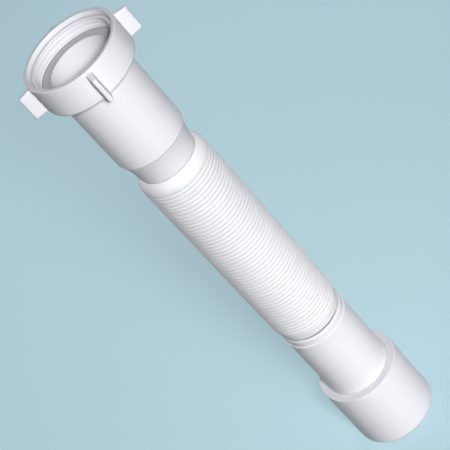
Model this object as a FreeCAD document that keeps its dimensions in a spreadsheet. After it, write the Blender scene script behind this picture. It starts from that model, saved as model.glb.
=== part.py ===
import FreeCAD, Part

import os

import Sketcher

# Flexible drain pipe: a winged union nut, a seal and an inlet sleeve at the top, a corrugated hose
# pressed over the tails of both sleeves, and a stepped 40/50 outlet sleeve at the bottom.
# Millimetres, +Z up, origin at the centre of the outlet rim, on which the pipe stands.

FULL_TURN = 360
NAME_COLUMN = "A"
ALIAS_COLUMN = "B"
ON_AXIS = "on the axis"
EDGE_TOLERANCE = 0.001

SIZES = [
    # outlet sleeve, from its rim upwards
    ("rim_diameter", 50.0),
    ("rim_length", 46.8),
    ("rim_wall", 2.6),
    ("rim_bevel", 0.5),
    ("spigot_diameter", 40.0),
    ("spigot_length", 50.6),
    ("spigot_wall", 2.6),
    ("band_depth", 0.45),
    ("band_height", 2.1),
    ("bead_rise", 0.35),
    ("bead_height", 1.6),
    ("neck_height", 3.1),
    # tails of both sleeves inside the hose, and what they grow into
    ("tail_diameter", 34.0),
    ("tail_wall", 2.0),
    ("tail_length", 14.0),
    ("bore_cone_height", 5.0),
    ("neck_rise", 1.3),
    ("throat_rise", 1.4),
    # corrugated hose
    ("hose_clearance", 0.05),
    ("hose_wall", 3.15),
    ("fold_depth", 0.7),
    ("fold_pitch", 4.1),
    ("fold_count", 31),
    ("heel_wall", 1.85),
    ("heel_height", 2.9),
    ("heel_drop", 1.0),
    ("heel_shoulder_height", 3.9),
    ("mouth_wall", 0.45),
    ("mouth_height", 2.5),
    ("mouth_drop", 1.1),
    ("mouth_shoulder_height", 3.9),
    # union nut and its thread
    ("thread_crest_diameter", 44.84),
    ("thread_height", 1.48),
    ("thread_length", 7.3),
    ("thread_bevel", 1.0),
    ("lead_in_step", 0.8),
    ("lead_in_depth", 2.2),
    ("nut_wall", 2.9),
    ("nut_bevel", 0.5),
    ("nut_end_play", 0.1),
    ("lip_thickness", 2.9),
    ("lip_clearance", 0.3),
    ("chamber_relief", 0.28),
    # inlet sleeve, above the hose, and the seal on its flange
    ("flange_clearance", 0.12),
    ("flange_rise", 1.6),
    ("flange_thickness", 3.0),
    ("inlet_wall", 3.5),
    ("inlet_length", 52.4),
    ("inlet_bevel", 0.5),
    ("inlet_bevel_height", 0.6),
    ("slope_height", 6.0),
    ("throat_height", 9.8),
    ("seal_thickness", 2.0),
    # wings of the nut
    ("wing_count", 4),
    ("wing_length", 7.2),
    ("wing_root_thickness", 4.0),
    ("wing_tip_thickness", 2.7),
    ("wing_top_drop", 2.7),
    ("wing_bottom_rise", 0.4),
    ("wing_tip_drop", 0.8),
    ("wing_tip_rise", 0.4),
    ("wing_sunk", 1.2),
    ("wing_rounding", 1.3),
]

# Radii, as expressions on the sheet.
RIM = "sizes.rim_diameter / 2"
RIM_BORE = RIM + " - sizes.rim_wall"
SPIGOT = "sizes.spigot_diameter / 2"
SPIGOT_BORE = SPIGOT + " - sizes.spigot_wall"
BAND = SPIGOT + " - sizes.band_depth"
BEAD = BAND + " + sizes.bead_rise"
TAIL = "sizes.tail_diameter / 2"
TAIL_BORE = TAIL + " - sizes.tail_wall"
NECK = TAIL + " + sizes.neck_rise"
THROAT = TAIL + " + sizes.throat_rise"
HOSE_BORE = TAIL + " + sizes.hose_clearance"
FOLD_ROOT = HOSE_BORE + " + sizes.hose_wall"
FOLD_CREST = FOLD_ROOT + " + sizes.fold_depth"
THREAD_CREST = "sizes.thread_crest_diameter / 2"
THREAD_ROOT = THREAD_CREST + " + sizes.thread_height"
LEAD_IN = THREAD_ROOT + " + sizes.lead_in_step"
NUT = THREAD_ROOT + " + sizes.nut_wall"
CHAMBER = THREAD_CREST + " + sizes.chamber_relief"
FLANGE = THREAD_CREST + " - sizes.flange_clearance"
INLET = FLANGE + " - sizes.flange_rise"
INLET_BORE = INLET + " - sizes.inlet_wall"
LIP = INLET + " + sizes.lip_clearance"

# Heights in each piece's own frame, as expressions on the sheet.
STEP_UP = "sizes.rim_length"
BAND_UP = STEP_UP + " + sizes.spigot_length"
BEAD_UP = BAND_UP + " + sizes.band_height"
NECK_UP = BEAD_UP + " + sizes.bead_height"
SEAT_UP = NECK_UP + " + sizes.neck_height"
OUTLET_UP = SEAT_UP + " + sizes.tail_length"

HEEL_UP = "sizes.heel_height"
FOLDS_UP = HEEL_UP + " + sizes.heel_shoulder_height"
FOLDS_TOP_UP = FOLDS_UP + " + sizes.fold_count * sizes.fold_pitch"
MOUTH_DROP_UP = FOLDS_TOP_UP + " + sizes.mouth_shoulder_height"
MOUTH_UP = MOUTH_DROP_UP + " + sizes.mouth_height"

THROAT_UP = "sizes.tail_length"
SLOPE_UP = THROAT_UP + " + sizes.throat_height"
BEVEL_UP = SLOPE_UP + " + sizes.slope_height"
INLET_UP = BEVEL_UP + " + sizes.inlet_bevel_height"
FLANGE_UP = INLET_UP + " + sizes.inlet_length"
SEAL_UP = FLANGE_UP + " + sizes.flange_thickness"

CHAMBER_UP = "sizes.lip_thickness"
THREAD_UP = CHAMBER_UP + " + sizes.nut_end_play + sizes.flange_thickness + sizes.seal_thickness"
LEAD_IN_UP = THREAD_UP + " + sizes.thread_length"
NUT_UP = LEAD_IN_UP + " + sizes.lead_in_depth"

# Places of the pieces in the pipe, as expressions on the sheet.
INLET_PLACE = SEAT_UP + " + " + MOUTH_UP + " - sizes.tail_length"
SEAL_PLACE = INLET_PLACE + " + " + SEAL_UP
NUT_PLACE = INLET_PLACE + " + " + FLANGE_UP + " - sizes.nut_end_play - sizes.lip_thickness"


def add_sheet(doc):
    """The sheet of driving sizes, one alias to a row."""
    sheet = doc.addObject("Spreadsheet::Sheet", "sizes")
    for row, (alias, value) in enumerate(SIZES, start=1):
        sheet.set(NAME_COLUMN + str(row), alias)
        sheet.set(ALIAS_COLUMN + str(row), str(value))
        sheet.setAlias(ALIAS_COLUMN + str(row), alias)
    doc.recompute()
    return sheet


def add_body(doc, label, place):
    """A body with its own label, lifted to its place in the pipe."""
    body = doc.addObject("PartDesign::Body", label)
    body.Label = label
    if place:
        body.setExpression("Placement.Base.z", place)
    return body


def add_sketch(body, name, role):
    """An empty sketch on one of the body's origin planes."""
    planes = {feature.Role: feature for feature in body.Origin.OriginFeatures}
    sketch = body.newObject("Sketcher::SketchObject", name)
    sketch.AttachmentSupport = [(planes[role], "")]
    sketch.MapMode = "FlatFace"
    return sketch


def hold(sketch, kind, line, distance):
    """Hold the start of a line at a distance from the sketch's origin, driven by the sheet."""
    if distance == ON_AXIS:
        sketch.addConstraint(Sketcher.Constraint("PointOnObject", line, 1, -1))
        return
    index = sketch.addConstraint(Sketcher.Constraint(kind, -1, 1, line, 1, 1.0))
    sketch.setExpression("Constraints[" + str(index) + "]", distance)


def draw_outline(sketch, corners):
    """A closed outline of straight lines through corners given as pairs of expressions."""
    count = len(corners)
    guesses = [FreeCAD.Vector(number % 3, number, 0) for number in range(count)]
    for number in range(count):
        line = Part.LineSegment(guesses[number], guesses[(number + 1) % count])
        sketch.addGeometry(line, False)
    for number in range(count):
        sketch.addConstraint(Sketcher.Constraint("Coincident", number, 2, (number + 1) % count, 1))
    for number, (across, up) in enumerate(corners):
        hold(sketch, "DistanceX", number, across)
        hold(sketch, "DistanceY", number, up)


def add_turned(body, name, corners):
    """A full turn of an outline of (radius, height) corners about the pipe's axis."""
    sketch = add_sketch(body, name + "_outline", "XZ_Plane")
    draw_outline(sketch, corners)
    turned = body.newObject("PartDesign::Revolution", name)
    turned.Profile = sketch
    turned.ReferenceAxis = (sketch, ["V_Axis"])
    turned.Angle = FULL_TURN
    return turned


def make_outlet_sleeve(doc):
    """The stepped outlet: plain 50 mm end, 40 mm spigot, bead, neck and tail."""
    body = add_body(doc, "outlet_sleeve", None)
    add_turned(body, "outlet_turned", [
        (RIM_BORE, ON_AXIS),
        (RIM + " - sizes.rim_bevel", ON_AXIS),
        (RIM, "sizes.rim_bevel"),
        (RIM, STEP_UP + " - sizes.rim_bevel"),
        (RIM + " - sizes.rim_bevel", STEP_UP),
        (SPIGOT, STEP_UP),
        (SPIGOT, BAND_UP),
        (BAND, BAND_UP),
        (BAND, BEAD_UP),
        (BEAD, BEAD_UP),
        (BEAD, NECK_UP),
        (NECK, NECK_UP),
        (NECK, SEAT_UP),
        (TAIL, SEAT_UP),
        (TAIL, OUTLET_UP),
        (TAIL_BORE, OUTLET_UP),
        (TAIL_BORE, BAND_UP),
        (SPIGOT_BORE, BAND_UP + " - sizes.bore_cone_height"),
        (SPIGOT_BORE, STEP_UP + " - sizes.spigot_wall"),
        (RIM_BORE, STEP_UP + " - sizes.spigot_wall"),
    ])
    return body


def make_hose(doc):
    """The corrugated hose: a wall with a rounded shoulder at each end and a row of folds."""
    body = add_body(doc, "hose", SEAT_UP)
    add_turned(body, "hose_wall", [
        (HOSE_BORE, ON_AXIS),
        (HOSE_BORE + " + sizes.heel_wall", ON_AXIS),
        (FOLD_CREST + " - sizes.heel_drop", HEEL_UP),
        (FOLD_CREST, FOLDS_UP),
        (FOLD_ROOT, FOLDS_UP + " + sizes.fold_pitch / 2"),
        (FOLD_ROOT, FOLDS_TOP_UP + " - sizes.fold_pitch / 2"),
        (FOLD_CREST, FOLDS_TOP_UP),
        (FOLD_CREST + " - sizes.mouth_drop", MOUTH_DROP_UP),
        (HOSE_BORE + " + sizes.mouth_wall", MOUTH_UP),
        (HOSE_BORE, MOUTH_UP),
    ])
    # Each fold is a ridge whose foot runs under its neighbours, so that their flanks meet at the root.
    fold = add_turned(body, "fold", [
        (FOLD_ROOT + " - sizes.fold_depth / 4", FOLDS_UP + " + sizes.fold_pitch * 3 / 8"),
        (FOLD_CREST, FOLDS_UP + " + sizes.fold_pitch"),
        (FOLD_ROOT + " - sizes.fold_depth / 4", FOLDS_UP + " + sizes.fold_pitch * 13 / 8"),
    ])
    folds = body.newObject("PartDesign::LinearPattern", "folds")
    folds.Originals = [fold]
    folds.Direction = (fold.Profile[0], ["V_Axis"])
    folds.Mode = "Spacing"
    folds.setExpression("Offset", "sizes.fold_pitch")
    folds.setExpression("Occurrences", "sizes.fold_count - 1")
    body.Tip = folds
    return body


def make_inlet_sleeve(doc):
    """The inlet: tail, throat, slope, plain sleeve and the flange that the nut draws up."""
    body = add_body(doc, "inlet_sleeve", INLET_PLACE)
    add_turned(body, "inlet_turned", [
        (TAIL_BORE, ON_AXIS),
        (TAIL, ON_AXIS),
        (TAIL, THROAT_UP),
        (THROAT, SLOPE_UP),
        (INLET + " - sizes.inlet_bevel", BEVEL_UP),
        (INLET, INLET_UP),
        (INLET, FLANGE_UP),
        (FLANGE, FLANGE_UP),
        (FLANGE, SEAL_UP),
        (INLET_BORE, SEAL_UP),
        (INLET_BORE, INLET_UP),
        (TAIL_BORE, INLET_UP + " - sizes.bore_cone_height"),
    ])
    return body


def make_seal_ring(doc):
    """The flat seal ring that lies on the flange."""
    body = add_body(doc, "seal_ring", SEAL_PLACE)
    sketch = add_sketch(body, "seal_outline", "XY_Plane")
    for number, radius in enumerate((FLANGE, INLET_BORE)):
        guess = 2 - number
        circle = Part.Circle(FreeCAD.Vector(0, 0, 0), FreeCAD.Vector(0, 0, 1), guess)
        sketch.addGeometry(circle, False)
        sketch.addConstraint(Sketcher.Constraint("Coincident", number, 3, -1, 1))
        index = sketch.addConstraint(Sketcher.Constraint("Radius", number, guess))
        sketch.setExpression("Constraints[" + str(index) + "]", radius)
    pad = body.newObject("PartDesign::Pad", "seal_pad")
    pad.Profile = sketch
    pad.setExpression("Length", "sizes.seal_thickness")
    return body


def add_wing_section(body, name, thickness, bottom, top, reach):
    """One end of a wing: an upright oblong across the wing, at its distance from the pipe's axis."""
    sketch = add_sketch(body, name, "YZ_Plane")
    sketch.setExpression("AttachmentOffset.Base.z", reach)
    draw_outline(sketch, [
        ("-" + thickness + " / 2", bottom),
        (thickness + " / 2", bottom),
        (thickness + " / 2", top),
        ("-" + thickness + " / 2", top),
    ])
    return sketch


def wing_tip_edges(shape, sheet):
    """Names of the edges across the wings' tips, at their tops and bottoms."""
    tip = sheet.thread_crest_diameter / 2 + sheet.thread_height + sheet.nut_wall + sheet.wing_length
    names = []
    for number, edge in enumerate(shape.Edges, start=1):
        middle = edge.CenterOfMass
        level = edge.BoundBox.ZLength < EDGE_TOLERANCE
        reach = FreeCAD.Vector(middle.x, middle.y, 0).Length
        if level and abs(reach - tip) < EDGE_TOLERANCE:
            names.append("Edge" + str(number))
    return names


def make_union_nut(doc, sheet):
    """The union nut: lip, seal chamber, threaded length and lead-in, with wings round it."""
    body = add_body(doc, "union_nut", NUT_PLACE)
    add_turned(body, "nut_turned", [
        (LIP, ON_AXIS),
        (NUT, ON_AXIS),
        (NUT, NUT_UP + " - sizes.nut_bevel"),
        (NUT + " - sizes.nut_bevel", NUT_UP),
        (LEAD_IN, NUT_UP),
        (LEAD_IN, LEAD_IN_UP),
        (THREAD_ROOT, LEAD_IN_UP),
        (THREAD_CREST, LEAD_IN_UP + " - sizes.thread_bevel"),
        (THREAD_CREST, THREAD_UP),
        (CHAMBER, THREAD_UP),
        (CHAMBER, CHAMBER_UP),
        (LIP, CHAMBER_UP),
    ])
    root = add_wing_section(
        body, "wing_root", "sizes.wing_root_thickness", "sizes.wing_bottom_rise",
        NUT_UP + " - sizes.wing_top_drop", NUT + " - sizes.wing_sunk")
    tip = add_wing_section(
        body, "wing_tip", "sizes.wing_tip_thickness", "sizes.wing_bottom_rise + sizes.wing_tip_rise",
        NUT_UP + " - sizes.wing_top_drop - sizes.wing_tip_drop", NUT + " + sizes.wing_length")
    wing = body.newObject("PartDesign::AdditiveLoft", "wing")
    wing.Profile = root
    wing.Sections = [tip]
    wing.Ruled = True
    wings = body.newObject("PartDesign::PolarPattern", "wings")
    wings.Originals = [wing]
    wings.Axis = (body.Group[0], ["V_Axis"])
    wings.Angle = FULL_TURN
    wings.setExpression("Occurrences", "sizes.wing_count")
    body.Tip = wings
    doc.recompute()
    rounding = body.newObject("PartDesign::Fillet", "wing_corners")
    rounding.Base = (wings, wing_tip_edges(wings.Shape, sheet))
    rounding.setExpression("Radius", "sizes.wing_rounding")
    body.Tip = rounding
    return body


def check_document(doc, bodies):
    """Stop before writing if any object failed or any piece isn't one sound solid."""
    for item in doc.Objects:
        if "Invalid" in item.State or "Error" in item.State:
            raise RuntimeError(item.Name + " is " + ", ".join(item.State))
    for body in bodies:
        shape = body.Shape
        if shape.isNull() or not shape.isValid() or len(shape.Solids) != 1:
            raise RuntimeError(body.Label + " isn't one sound solid")


def main():
    doc = FreeCAD.newDocument("flexible_drain_pipe")
    sheet = add_sheet(doc)
    bodies = [
        make_outlet_sleeve(doc),
        make_hose(doc),
        make_inlet_sleeve(doc),
        make_seal_ring(doc),
        make_union_nut(doc, sheet),
    ]
    doc.recompute()
    check_document(doc, bodies)
    os.makedirs("parts", exist_ok=True)
    for body in bodies:
        body.Shape.exportStep("parts/" + body.Label + ".step")
        box = body.Shape.BoundBox
        print(body.Label, "volume", round(body.Shape.Volume), "from", round(box.ZMin, 2), "to", round(box.ZMax, 2))


main()
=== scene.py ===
import math

import bpy
import numpy as np
from mathutils import Matrix, Vector


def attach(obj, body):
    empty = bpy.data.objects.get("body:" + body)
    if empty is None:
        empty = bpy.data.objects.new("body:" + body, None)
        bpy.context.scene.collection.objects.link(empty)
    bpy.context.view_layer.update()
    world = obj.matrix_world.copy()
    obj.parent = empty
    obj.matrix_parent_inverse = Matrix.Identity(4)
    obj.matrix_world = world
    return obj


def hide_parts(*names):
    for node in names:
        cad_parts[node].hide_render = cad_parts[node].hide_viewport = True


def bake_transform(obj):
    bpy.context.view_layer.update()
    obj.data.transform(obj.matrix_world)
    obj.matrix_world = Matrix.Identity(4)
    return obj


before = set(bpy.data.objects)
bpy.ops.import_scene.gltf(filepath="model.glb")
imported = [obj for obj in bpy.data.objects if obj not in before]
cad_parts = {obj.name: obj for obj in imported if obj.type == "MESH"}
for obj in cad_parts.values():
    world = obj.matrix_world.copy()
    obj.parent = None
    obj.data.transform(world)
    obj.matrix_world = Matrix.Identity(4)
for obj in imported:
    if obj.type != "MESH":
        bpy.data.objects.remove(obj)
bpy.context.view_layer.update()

# Flexible drain pipe in metres, +Z up, standing on its outlet rim. Radii and heights follow the CAD's
# sizes, but for the wings' edges and the nut's foot, which follow the photograph more closely. The
# rounded edges, the thread's turns and the fine folds are added here.

MM = 0.001
FULL_TURN = 2 * math.pi

# steps round the pipe and round the hose, and steps in a rounded corner
ROUND_STEPS = 192
HOSE_STEPS = 128
CORNER_STEPS = 5

# the largest share of a side that the rounding at one of its ends may take
ROUNDING_LIMIT = 0.49

# how much more the larger faces count in the shading where faces meet: 50 is not at all
FACE_WEIGHT = 100

# outlet sleeve: radii
RIM = 25.0 * MM
RIM_BORE = 22.4 * MM
SPIGOT = 20.0 * MM
SPIGOT_BORE = 17.4 * MM
SPIGOT_LIP = 20.3 * MM
BAND = 19.6 * MM
BEAD = 19.85 * MM
NECK_EDGE = 19.0 * MM
TAIL = 17.0 * MM
TAIL_BORE = 15.0 * MM

# outlet sleeve: heights, and the rises and drops between them
STEP_UP = 46.8 * MM
STEP_UNDERSIDE = STEP_UP - (SPIGOT - SPIGOT_BORE)
LIP_START_UP = 92.0 * MM
LIP_UP = 96.6 * MM
LIP_HEIGHT = 0.8 * MM
LIP_SLOPE = 0.3 * MM
BAND_UP = 98.2 * MM
BEAD_UP = 100.2 * MM
NECK_UP = 101.3 * MM
NECK_DROP = 0.3 * MM
NECK_RISE = 0.8 * MM
NECK_GROOVE = 1.2 * MM
OUTLET_UP = 118.2 * MM

# inlet sleeve and seal: radii
THROAT = 18.4 * MM
SLOPE_TOP = 20.2 * MM
INLET = 20.7 * MM
INLET_BORE = 17.2 * MM
FLANGE = 22.3 * MM
COLLAR = 17.6 * MM
CREASE_DEPTH = 0.6 * MM

# inlet sleeve and seal: heights
INLET_FOOT = 230.5 * MM
THROAT_UP = 244.5 * MM
SLOPE_UP = 254.3 * MM
CREASE_UP = 260.3 * MM
INLET_UP = 260.9 * MM
FLANGE_UP = 313.3 * MM
SEAL_UP = 316.3 * MM
SEAL_TOP = 318.3 * MM
COLLAR_UP = 318.0 * MM

# height of the cone between the wide and the narrow bore of each sleeve
BORE_CONE = 5.0 * MM

# hose: its bore, folds and thin wall
HOSE_BORE = 17.05 * MM
HOSE_WALL = 0.9 * MM
CREST = 20.9 * MM
GROOVE_DEPTH = 0.85 * MM
GROOVE_POWER = 6
FOLDS_UP = 111.0 * MM
FOLDS_TOP_UP = 238.1 * MM
FOLD_COUNT = 49
OUTER_SHARES = (0, 0.03, 0.06, 0.1, 0.16, 0.28, 0.5, 0.72, 0.84, 0.9, 0.94, 0.97)
INNER_SHARES = (0, 0.1, 0.3, 0.7, 0.9)

# hose: the arc of its plain shoulder, and its plain heel as (radius, height) in millimetres
SHOULDER_RADIUS = 7.6 * MM
SHOULDER_CENTRE = 13.3 * MM
SHOULDER_POINTS = 12
HEEL = (
    (18.2, 103.3), (19.2, 103.3), (19.6, 103.5), (19.75, 104.0), (19.85, 104.8),
    (20.0, 106.0), (20.15, 107.0), (20.35, 108.2), (20.5, 109.0), (20.5, 109.4),
)

# hose: the fold where its two pieces meet
SEAM_FOLD = 18

# union nut: ring, lip behind the flange, seal chamber and plain lead-in
NUT = 26.8 * MM
NUT_FOOT = 309.4 * MM
NUT_TOP = 327.8 * MM
HOOK = 21.0 * MM
HOOK_UP = 313.2 * MM
CHAMBER = 22.7 * MM
LEAD_IN = 24.7 * MM
LEAD_IN_UP = 325.5 * MM
GUTTER = 24.2 * MM
GUTTER_DEPTH = 0.4 * MM

# union nut: thread
THREAD_CREST = 22.42 * MM
THREAD_ROOT = 22.8 * MM
THREAD_MOUTH = 22.6 * MM
THREAD_PITCH = 2.309 * MM
THREAD_ROW = 0.1 * MM
THREAD_UP = 318.3 * MM
CREST_SHARE = 0.5
RUN_OUT = 0.8 * MM

# wings of the nut, from inside its wall to their rounded tips, with their lower and upper heights
WING_COUNT = 4
WING_START = 25.6 * MM
WING_TIP = 34.0 * MM
WING_ROOT_HALF = 1.8 * MM
WING_TIP_HALF = 1.35 * MM
WING_ROOT_HEIGHTS = (310.7 * MM, 326.3 * MM)
WING_TIP_HEIGHTS = (310.8 * MM, 325.1 * MM)
WING_NOSE = 0.8 * MM
WING_EDGE = 1.25 * MM

# the wings' sections: as shares of their reach, and as steps of a quarter turn in their roundings
WING_SHARES = (0, 0.16, 0.5, 0.84)
NOSE_STEPS = 10
NOSE_FIRST_STEP = 3
EDGE_STEPS = 4

# what the plastics share: shine, clouds of colour and gloss, painted shade darkening their corners, and
# grain
PLASTIC_SHINE = 0.2
CLOUD_SCALE = 35
CLOUD_DETAIL = 3
CLOUD_TONE = 0.975
CLOUD_GLOSS = 0.05
CORNER_SHADE_SAMPLES = 8
CORNER_SHADE_OPENNESS = (0.25, 0.85)
GRAIN_SCALE = 900
GRAIN_DETAIL = 2
GRAIN_HEIGHT = 0.1 * MM

# floor and backdrop: what is seen of them, and the little light that they give
FLOOR_HALF = 8.0
FLOOR_COLOUR = (0.50, 0.70, 0.78)
FLOOR_SHARE = 0.5
FLOOR_BOUNCE = (0.08, 0.08, 0.08)
FLOOR_GLOW = 0.6
FLOOR_ROUGHNESS = 0.9
FLOOR_SHINE = 0.1
FAINT_LIGHT = (0.026, 0.027, 0.03)

# the photograph's camera: its tilt, its roll, its place before it goes round the pipe, and its lens
TILT = math.radians(37.386)
ROLL_COS = 0.675
ROLL_SIN = 0.738
GOES_ROUND = math.radians(1.85)
CAMERA_PLACE = (-1.35 * MM, -662.48 * MM, 693.53 * MM)
SENSOR = 36.0
LENS = 126.17

# the lamp beside the camera: how far it goes round and down from there, the height that it looks at,
# its size, its power and the spread of its beam in degrees
KEY_TURN = math.radians(5.5)
KEY_DROP = 0.008
KEY_AIM = 0.3
KEY_SIZE = 0.12
KEY_WATTS = 1.5
KEY_SPREAD = 90

# the lamps round the pipe: name, degrees round from the front towards +X, height, distance, height
# that it looks at, power, spread of the beam in degrees, and whether it gives a shine. The lamps
# behind the pipe give none, because it would draw white lines down the pipe's edges.
LAMP_SIZE = 0.2
LAMPS = (
    ("low_front_lamp", 14, 0.2, 1.2, 0.0, 0.33, 32, True),
    ("back_lamp_right", 152, 0.22, 1.5, 0.16, 1.2, 60, False),
    ("back_lamp_left", -150, 0.22, 1.5, 0.16, 1.6, 60, False),
)


def smooth_step(share):
    """A share from 0 to 1 that starts and ends level."""
    share = np.clip(share, 0, 1)
    return share * share * (3 - 2 * share)


def between(start, end, share):
    """A value part of the way from a start to an end."""
    return start + (end - start) * share


def rounded(corners):
    """A closed outline through (radius, height, rounding) corners, each rounded as much as it says."""
    outline = []
    count = len(corners)
    for number, (across, up, rounding) in enumerate(corners):
        corner = Vector((across, up))
        if not rounding:
            outline.append(corner)
            continue
        before = Vector(corners[number - 1][:2]) - corner
        after = Vector(corners[(number + 1) % count][:2]) - corner
        start = corner + before.normalized() * min(rounding, before.length * ROUNDING_LIMIT)
        end = corner + after.normalized() * min(rounding, after.length * ROUNDING_LIMIT)
        for step in range(CORNER_STEPS + 1):
            share = step / CORNER_STEPS
            outline.append(start.lerp(corner, share).lerp(corner.lerp(end, share), share))
    return outline


def mesh_piece(name, points, faces):
    """A smooth-shaded mesh object from points and faces."""
    mesh = bpy.data.meshes.new(name)
    mesh.from_pydata([tuple(point) for point in points], [], faces)
    mesh.shade_smooth()
    mesh.update()
    piece = bpy.data.objects.new(name, mesh)
    bpy.context.scene.collection.objects.link(piece)
    return piece


def turned(name, outline, steps, radius_at=None):
    """A closed outline, anticlockwise in radius and height, turned about the pipe's axis."""
    radii = np.array([point[0] for point in outline])
    heights = np.array([point[1] for point in outline])
    rows = len(outline)
    points = []
    for turn in np.arange(steps) * FULL_TURN / steps:
        across = radii if radius_at is None else radius_at(radii, heights, turn)
        points.append(np.column_stack((across * math.cos(turn), across * math.sin(turn), heights)))
    faces = []
    for step in range(steps):
        here, there = step * rows, (step + 1) % steps * rows
        for row in range(rows):
            above = (row + 1) % rows
            faces.append((here + row, there + row, there + above, here + above))
    return mesh_piece(name, np.concatenate(points), faces)


def even_normals(piece):
    """Keep flat faces flat beside their rounded edges."""
    weighted = piece.modifiers.new("even_normals", "WEIGHTED_NORMAL")
    weighted.keep_sharp = True
    weighted.weight = FACE_WEIGHT


def make_outlet():
    """The outlet sleeve: 50 mm end, step, 40 mm spigot with a lip, band, bead, neck and tail."""
    corners = [
        (RIM_BORE, 0, 0.4 * MM),
        (RIM, 0, 0.7 * MM),
        (RIM, STEP_UP, 0.6 * MM),
        (SPIGOT, STEP_UP, 0.3 * MM),
        (SPIGOT, LIP_START_UP, 2.0 * MM),
        (SPIGOT_LIP, LIP_UP - LIP_HEIGHT, 0.4 * MM),
        (SPIGOT_LIP, LIP_UP, 0.15 * MM),
        (BAND, LIP_UP + LIP_SLOPE, 0.1 * MM),
        (BAND, BAND_UP, 0.8 * MM),
        (BEAD, BEAD_UP, 0.8 * MM),
        (BEAD, NECK_UP - NECK_DROP, 0.4 * MM),
        (NECK_EDGE, NECK_UP + NECK_RISE, 0.2 * MM),
        (TAIL, NECK_UP - NECK_GROOVE, 0),
        (TAIL, OUTLET_UP, 0.5 * MM),
        (TAIL_BORE, OUTLET_UP, 0.5 * MM),
        (TAIL_BORE, BAND_UP, 1.5 * MM),
        (SPIGOT_BORE, BAND_UP - BORE_CONE, 1.5 * MM),
        (SPIGOT_BORE, STEP_UNDERSIDE, 0.8 * MM),
        (RIM_BORE, STEP_UNDERSIDE, 0.8 * MM),
    ]
    return turned("outlet_sleeve_moulding", rounded(corners), ROUND_STEPS)


def make_inlet():
    """The inlet sleeve: tail, throat, slope, the crease at the sleeve's foot, flange and low collar."""
    corners = [
        (TAIL_BORE, INLET_FOOT, 0.5 * MM),
        (TAIL, INLET_FOOT, 0.5 * MM),
        (TAIL, THROAT_UP, 0.2 * MM),
        (THROAT, SLOPE_UP, 3.0 * MM),
        (SLOPE_TOP, CREASE_UP, 0.1 * MM),
        (SLOPE_TOP - CREASE_DEPTH, CREASE_UP, 0),
        (SLOPE_TOP - CREASE_DEPTH, INLET_UP, 0),
        (INLET, INLET_UP, 0.15 * MM),
        (INLET, FLANGE_UP, 0.4 * MM),
        (FLANGE, FLANGE_UP, 0.3 * MM),
        (FLANGE, SEAL_UP, 0.2 * MM),
        (COLLAR, SEAL_UP, 0),
        (COLLAR, COLLAR_UP, 0.15 * MM),
        (INLET_BORE, COLLAR_UP, 0.15 * MM),
        (INLET_BORE, INLET_UP, 1.5 * MM),
        (TAIL_BORE, INLET_UP - BORE_CONE, 1.5 * MM),
    ]
    return turned("inlet_sleeve_moulding", rounded(corners), ROUND_STEPS)


def make_seal():
    """The flat seal on the flange."""
    corners = [
        (COLLAR, SEAL_UP, 0.1 * MM),
        (FLANGE, SEAL_UP, 0.2 * MM),
        (FLANGE, SEAL_TOP, 0.2 * MM),
        (COLLAR, SEAL_TOP, 0.15 * MM),
    ]
    return turned("seal_ring_moulding", rounded(corners), ROUND_STEPS)


def thread_radius(radii, heights, turn):
    """Inside radii of the nut at one angle: a right-handed thread that runs out at both its ends."""
    within = radii == THREAD_CREST
    phase = heights / THREAD_PITCH - turn / FULL_TURN
    share = smooth_step((abs(2 * (phase % 1) - 1) - CREST_SHARE) / (1 - CREST_SHARE))
    fading = smooth_step((heights - THREAD_UP) / RUN_OUT) * smooth_step((LEAD_IN_UP - heights) / RUN_OUT)
    thread = THREAD_CREST + (THREAD_ROOT - THREAD_CREST) * share * fading
    return np.where(within, thread, radii)


def make_nut_ring():
    """The nut's ring: lip, seal chamber, threaded wall, gutter, plain lead-in and rounded rim."""
    upper = rounded([
        (HOOK, NUT_FOOT, 0.3 * MM),
        (NUT, NUT_FOOT, 2.4 * MM),
        (NUT, NUT_TOP, 0.4 * MM),
        (LEAD_IN, NUT_TOP, 0.2 * MM),
        (GUTTER, LEAD_IN_UP - GUTTER_DEPTH, 0.1 * MM),
        (THREAD_MOUTH, LEAD_IN_UP, 0.1 * MM),
    ])
    rows = int((LEAD_IN_UP - THREAD_UP) / THREAD_ROW)
    wall = [(THREAD_CREST, LEAD_IN_UP - THREAD_ROW * (row + 1)) for row in range(rows - 1)]
    lower = [
        (THREAD_CREST, THREAD_UP),
        (CHAMBER, THREAD_UP),
        (CHAMBER, HOOK_UP),
        (HOOK, HOOK_UP),
    ]
    return turned("union_nut_moulding", upper + wall + lower, ROUND_STEPS, thread_radius)


def drawn_in(reach, rounding):
    """How far a wing's outline is drawn in at a reach, where a rounding of some size ends at its tip."""
    share = max(reach - (WING_TIP - rounding), 0) / rounding
    return rounding * (1 - math.sqrt(max(1 - share * share, 0)))


def wing_section(reach):
    """A section across a wing at its distance from the pipe's axis, as points (sideways, up)."""
    share = (reach - NUT) / (WING_TIP - NUT)
    half = between(WING_ROOT_HALF, WING_TIP_HALF, share) - drawn_in(reach, WING_EDGE)
    low = between(WING_ROOT_HEIGHTS[0], WING_TIP_HEIGHTS[0], share) + drawn_in(reach, WING_NOSE)
    high = between(WING_ROOT_HEIGHTS[1], WING_TIP_HEIGHTS[1], share) - drawn_in(reach, WING_NOSE)
    corners = [
        (-half, low, WING_EDGE),
        (half, low, WING_EDGE),
        (half, high, WING_EDGE),
        (-half, high, WING_EDGE),
    ]
    return rounded(corners)


def near_tip(rounding, step, steps):
    """The reach of a section after some steps of the quarter turn in a rounding at a wing's tip."""
    return WING_TIP - rounding * (1 - math.sin(step * math.pi / (2 * steps)))


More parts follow.
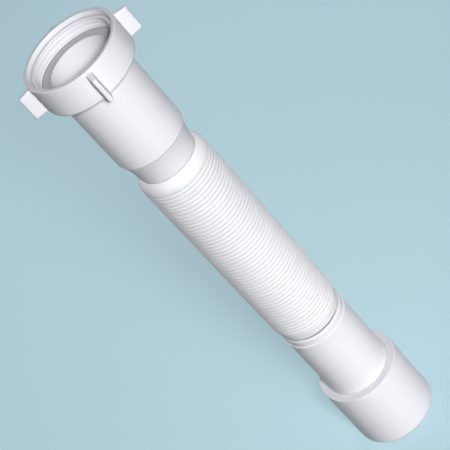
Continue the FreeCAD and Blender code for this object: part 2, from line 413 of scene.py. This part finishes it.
def wing_reaches():
    """Distances from the pipe's axis at which a wing has its sections."""
    reaches = [WING_START + share * (WING_TIP - WING_START) for share in WING_SHARES]
    reaches += [near_tip(WING_NOSE, step, NOSE_STEPS) for step in range(NOSE_FIRST_STEP, NOSE_STEPS)]
    reaches += [near_tip(WING_EDGE, step, EDGE_STEPS) for step in range(1, EDGE_STEPS)]
    return sorted(reaches) + [WING_TIP]


def make_wing(number):
    """One wing as a loft of sections from inside the nut's wall to a rounded tip."""
    reaches = wing_reaches()
    points = []
    for reach in reaches:
        points += [(reach, sideways, up) for sideways, up in wing_section(reach)]
    around = len(points) // len(reaches)
    faces = [tuple(reversed(range(around)))]
    for ring in range(len(reaches) - 1):
        for place in range(around):
            after = (place + 1) % around
            low, high = ring * around, (ring + 1) * around
            faces.append((low + place, low + after, high + after, high + place))
    faces.append(tuple(range(len(points) - around, len(points))))
    wing = mesh_piece("wing_" + str(number), points, faces)
    wing.data.transform(Matrix.Rotation(number * FULL_TURN / WING_COUNT, 4, "Z"))
    return wing


def join_solid(target, other):
    """Unite another solid with the target and remove it."""
    union = target.modifiers.new("union", "BOOLEAN")
    union.operation = "UNION"
    union.object = other
    graph = bpy.context.evaluated_depsgraph_get()
    united = bpy.data.meshes.new_from_object(target.evaluated_get(graph))
    target.modifiers.clear()
    target.data = united
    bpy.data.objects.remove(other)


def make_nut():
    """The union nut with its four wings, as one solid."""
    nut = make_nut_ring()
    for number in range(WING_COUNT):
        join_solid(nut, make_wing(number))
    return nut


def fold_rows(low, high, shares):
    """Points up one fold of the hose: a wide crest between narrow grooves."""
    rows = []
    for share in shares:
        drop = GROOVE_DEPTH * abs(2 * share - 1) ** GROOVE_POWER
        rows.append((CREST - drop, low + (high - low) * share))
    return rows


def shoulder_rows():
    """Points up the arc of the hose's plain shoulder."""
    rows = []
    for share in np.linspace(0, 1, SHOULDER_POINTS):
        up = share * (THROAT_UP - FOLDS_TOP_UP)
        rows.append((SHOULDER_CENTRE + math.sqrt(SHOULDER_RADIUS ** 2 - up ** 2), FOLDS_TOP_UP + up))
    return rows


def hose_wall(first, last, shares, inset):
    """Points up the hose's wall from one fold to another, with its plain heel and shoulder at its ends."""
    pitch = (FOLDS_TOP_UP - FOLDS_UP) / FOLD_COUNT
    rows = []
    if first == 0:
        rows += [(across * MM, up * MM) for across, up in HEEL]
    for fold in range(first, last):
        low = FOLDS_UP + (fold - 0.5) * pitch
        rows += fold_rows(low, low + pitch, shares)
    if last > FOLD_COUNT:
        rows = [row for row in rows if row[1] < FOLDS_TOP_UP] + shoulder_rows()
    else:
        rows.append((CREST - GROOVE_DEPTH, FOLDS_UP + (last - 0.5) * pitch))
    return [(max(across - inset, HOSE_BORE), up) for across, up in rows]


def make_hose(name, first, last):
    """A stretch of the hose, with a thin folded wall."""
    outer = hose_wall(first, last, OUTER_SHARES, 0)
    inner = hose_wall(first, last, INNER_SHARES, HOSE_WALL)
    return turned(name, outer + inner[::-1], HOSE_STEPS)


def new_noise(nodes, links, place, scale, detail):
    """A noise texture that lies still on its piece."""
    noise = nodes.new("ShaderNodeTexNoise")
    noise.inputs["Scale"].default_value = scale
    noise.inputs["Detail"].default_value = detail
    links.new(place.outputs["Object"], noise.inputs["Vector"])
    return noise


def new_painted_corner_shade(nodes, links, reach, tone):
    """A factor of painted shade that darkens what lies in a corner, down to a tone."""
    # painted shade: ambient occlusion darkens the colour in corners, creases and gaps where shade falls
    crevice = nodes.new("ShaderNodeAmbientOcclusion")
    crevice.samples = CORNER_SHADE_SAMPLES
    crevice.inputs["Distance"].default_value = reach
    corner_shade = nodes.new("ShaderNodeMapRange")
    corner_shade.inputs["From Min"].default_value = CORNER_SHADE_OPENNESS[0]
    corner_shade.inputs["From Max"].default_value = CORNER_SHADE_OPENNESS[1]
    corner_shade.inputs["To Min"].default_value = tone
    corner_shade.inputs["To Max"].default_value = 1.0
    links.new(crevice.outputs["AO"], corner_shade.inputs["Value"])
    return corner_shade


def plastic(name, colour, roughness, grain, corner_shade_reach, corner_shade_tone):
    """A moulded plastic: uneven colour and gloss, painted shade darkening its corners, and a fine grain.
    """
    material = bpy.data.materials.new(name)
    material.use_nodes = True
    nodes, links = material.node_tree.nodes, material.node_tree.links
    shader = nodes["Principled BSDF"]
    shader.inputs["Specular IOR Level"].default_value = PLASTIC_SHINE

    place = nodes.new("ShaderNodeTexCoord")
    cloud = new_noise(nodes, links, place, CLOUD_SCALE, CLOUD_DETAIL)
    tint = nodes.new("ShaderNodeMix")
    tint.data_type = "RGBA"
    tint.inputs["A"].default_value = (*[value * CLOUD_TONE for value in colour], 1)
    tint.inputs["B"].default_value = (*colour, 1)
    links.new(cloud.outputs["Fac"], tint.inputs["Factor"])

    # painted shade: the base colour is multiplied darker in corners, creases and gaps
    corner_shade = new_painted_corner_shade(nodes, links, corner_shade_reach, corner_shade_tone)
    toned = nodes.new("ShaderNodeMix")
    toned.data_type = "RGBA"
    toned.blend_type = "MULTIPLY"
    toned.inputs["Factor"].default_value = 1.0
    links.new(tint.outputs["Result"], toned.inputs["A"])
    links.new(corner_shade.outputs["Result"], toned.inputs["B"])
    links.new(toned.outputs["Result"], shader.inputs["Base Color"])

    gloss = nodes.new("ShaderNodeMapRange")
    gloss.inputs["To Min"].default_value = roughness - CLOUD_GLOSS
    gloss.inputs["To Max"].default_value = roughness + CLOUD_GLOSS
    links.new(cloud.outputs["Fac"], gloss.inputs["Value"])
    links.new(gloss.outputs["Result"], shader.inputs["Roughness"])

    fine = new_noise(nodes, links, place, GRAIN_SCALE, GRAIN_DETAIL)
    bump = nodes.new("ShaderNodeBump")
    bump.inputs["Strength"].default_value = grain
    bump.inputs["Distance"].default_value = GRAIN_HEIGHT
    links.new(fine.outputs["Fac"], bump.inputs["Height"])
    links.new(bump.outputs["Normal"], shader.inputs["Normal"])
    return material


def dress(piece, material, body, node):
    """Give a piece its material and body, and hide the CAD node that it stands for."""
    piece.data.materials.clear()
    piece.data.materials.append(material)
    if body:
        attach(piece, body)
    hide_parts(node)


def seen_directly(nodes, links):
    """A node whose value is 1 for what the camera, gloss or glass sees, and 0 for light that bounces."""
    path = nodes.new("ShaderNodeLightPath")
    seen = nodes.new("ShaderNodeMath")
    seen.operation = "MAXIMUM"
    links.new(path.outputs["Is Camera Ray"], seen.inputs[0])
    links.new(path.outputs["Is Glossy Ray"], seen.inputs[1])
    seen_through = nodes.new("ShaderNodeMath")
    seen_through.operation = "MAXIMUM"
    links.new(seen.outputs["Value"], seen_through.inputs[0])
    links.new(path.outputs["Is Transmission Ray"], seen_through.inputs[1])
    return seen_through


def make_floor():
    """A plain pale floor, which glows faintly where it is seen and throws little light back."""
    half = FLOOR_HALF
    points = [(-half, -half, 0), (half, -half, 0), (half, half, 0), (-half, half, 0)]
    floor = mesh_piece("floor", points, [(0, 1, 2, 3)])
    material = bpy.data.materials.new("floor")
    material.use_nodes = True
    nodes, links = material.node_tree.nodes, material.node_tree.links
    shader = nodes["Principled BSDF"]
    shader.inputs["Roughness"].default_value = FLOOR_ROUGHNESS
    shader.inputs["Specular IOR Level"].default_value = FLOOR_SHINE
    seen = seen_directly(nodes, links)
    colour = nodes.new("ShaderNodeMix")
    colour.data_type = "RGBA"
    colour.inputs["A"].default_value = (*FLOOR_BOUNCE, 1)
    colour.inputs["B"].default_value = (*[value * FLOOR_SHARE for value in FLOOR_COLOUR], 1)
    links.new(seen.outputs["Value"], colour.inputs["Factor"])
    links.new(colour.outputs["Result"], shader.inputs["Base Color"])
    glow = nodes.new("ShaderNodeMath")
    glow.operation = "MULTIPLY"
    glow.inputs[1].default_value = FLOOR_GLOW
    links.new(seen.outputs["Value"], glow.inputs[0])
    shader.inputs["Emission Color"].default_value = (*FLOOR_COLOUR, 1)
    links.new(glow.outputs["Value"], shader.inputs["Emission Strength"])
    floor.data.materials.append(material)


def make_backdrop():
    """Faint light from everywhere, which is itself seen as a backdrop in the floor's colour."""
    world = bpy.data.worlds.new("studio")
    world.use_nodes = True
    nodes, links = world.node_tree.nodes, world.node_tree.links
    colour = nodes.new("ShaderNodeMix")
    colour.data_type = "RGBA"
    colour.inputs["A"].default_value = (*FAINT_LIGHT, 1)
    colour.inputs["B"].default_value = (*[value * FLOOR_GLOW for value in FLOOR_COLOUR], 1)
    links.new(seen_directly(nodes, links).outputs["Value"], colour.inputs["Factor"])
    links.new(colour.outputs["Result"], nodes["Background"].inputs["Color"])
    bpy.context.scene.world = world


def make_camera():
    """The camera at the photograph's place, rolled so that the pipe lies across the picture."""
    down_pipe = Vector((0, -math.sin(TILT), -math.cos(TILT)))
    sideways = Vector((1, 0, 0))
    right = (ROLL_COS * down_pipe + ROLL_SIN * sideways).normalized()
    up = (-ROLL_SIN * down_pipe + ROLL_COS * sideways).normalized()
    back = right.cross(up)
    turn = Matrix.Rotation(GOES_ROUND, 4, "Z")
    pose = Matrix((right, up, back)).transposed().to_4x4()
    data = bpy.data.cameras.new("camera")
    data.sensor_width = SENSOR
    data.lens = LENS
    camera = bpy.data.objects.new("camera", data)
    camera.matrix_world = turn @ Matrix.Translation(CAMERA_PLACE) @ pose
    bpy.context.scene.collection.objects.link(camera)
    bpy.context.scene.camera = camera
    return camera


def make_lamp(name, place, target, size, watts, spread):
    """A soft round lamp that looks at a target with a wide or narrow beam and isn't seen itself."""
    data = bpy.data.lights.new(name, "AREA")
    data.shape = "DISK"
    data.size = size
    data.energy = watts
    data.spread = math.radians(spread)
    lamp = bpy.data.objects.new(name, data)
    lamp.visible_camera = False
    lamp.location = place
    lamp.rotation_mode = "QUATERNION"
    lamp.rotation_quaternion = (Vector(target) - Vector(place)).to_track_quat("-Z", "Y")
    bpy.context.scene.collection.objects.link(lamp)
    return lamp


def make_light(camera):
    """A soft lamp beside the camera and weaker ones round the pipe."""
    place = Matrix.Rotation(KEY_TURN, 4, "Z") @ camera.matrix_world.translation
    place.z -= KEY_DROP
    make_lamp("key_lamp", place, Vector((0, 0, KEY_AIM)), KEY_SIZE, KEY_WATTS, KEY_SPREAD)
    for name, azimuth, height, away, aim, watts, spread, shines in LAMPS:
        turn = math.radians(azimuth)
        place = Vector((math.sin(turn) * away, -math.cos(turn) * away, height))
        lamp = make_lamp(name, place, Vector((0, 0, aim)), LAMP_SIZE, watts, spread)
        lamp.visible_glossy = shines


# each plastic's corner shade reach and tone set how far and how dark the painted shade in its corners goes
white = plastic(
    "white_moulded_plastic", colour=(0.80, 0.80, 0.84), roughness=0.45, grain=0.06,
    corner_shade_reach=1.5 * MM, corner_shade_tone=0.35,
)
flexible = plastic(
    "white_flexible_plastic", colour=(0.82, 0.82, 0.85), roughness=0.5, grain=0.08,
    corner_shade_reach=0.5 * MM, corner_shade_tone=0.7,
)
# the seal's dark grey colour is painted shade for its upward face, and its corners get painted shade as
# well
seal_painted_grey = plastic(
    "seal_grey_painted_shade", colour=(0.46, 0.46, 0.485), roughness=0.65, grain=0.15,
    corner_shade_reach=0.8 * MM, corner_shade_tone=0.8,
)

outlet = make_outlet()
even_normals(outlet)
dress(outlet, white, "outlet", "outlet_sleeve")
inlet = make_inlet()
even_normals(inlet)
dress(inlet, white, "inlet", "inlet_sleeve")
seal = make_seal()
even_normals(seal)
dress(seal, seal_painted_grey, "inlet", "seal_ring")
nut = make_nut()
even_normals(nut)
dress(nut, white, "nut", "union_nut")

lower_hose = make_hose("hose_lower_folds", 0, SEAM_FOLD)
dress(lower_hose, flexible, None, "hose")
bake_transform(lower_hose)
upper_hose = make_hose("hose_upper_folds", SEAM_FOLD, FOLD_COUNT + 1)
dress(upper_hose, flexible, None, "hose")
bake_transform(upper_hose)

make_floor()
make_backdrop()
make_light(make_camera())
bpy.context.scene.view_settings.view_transform = "Standard"
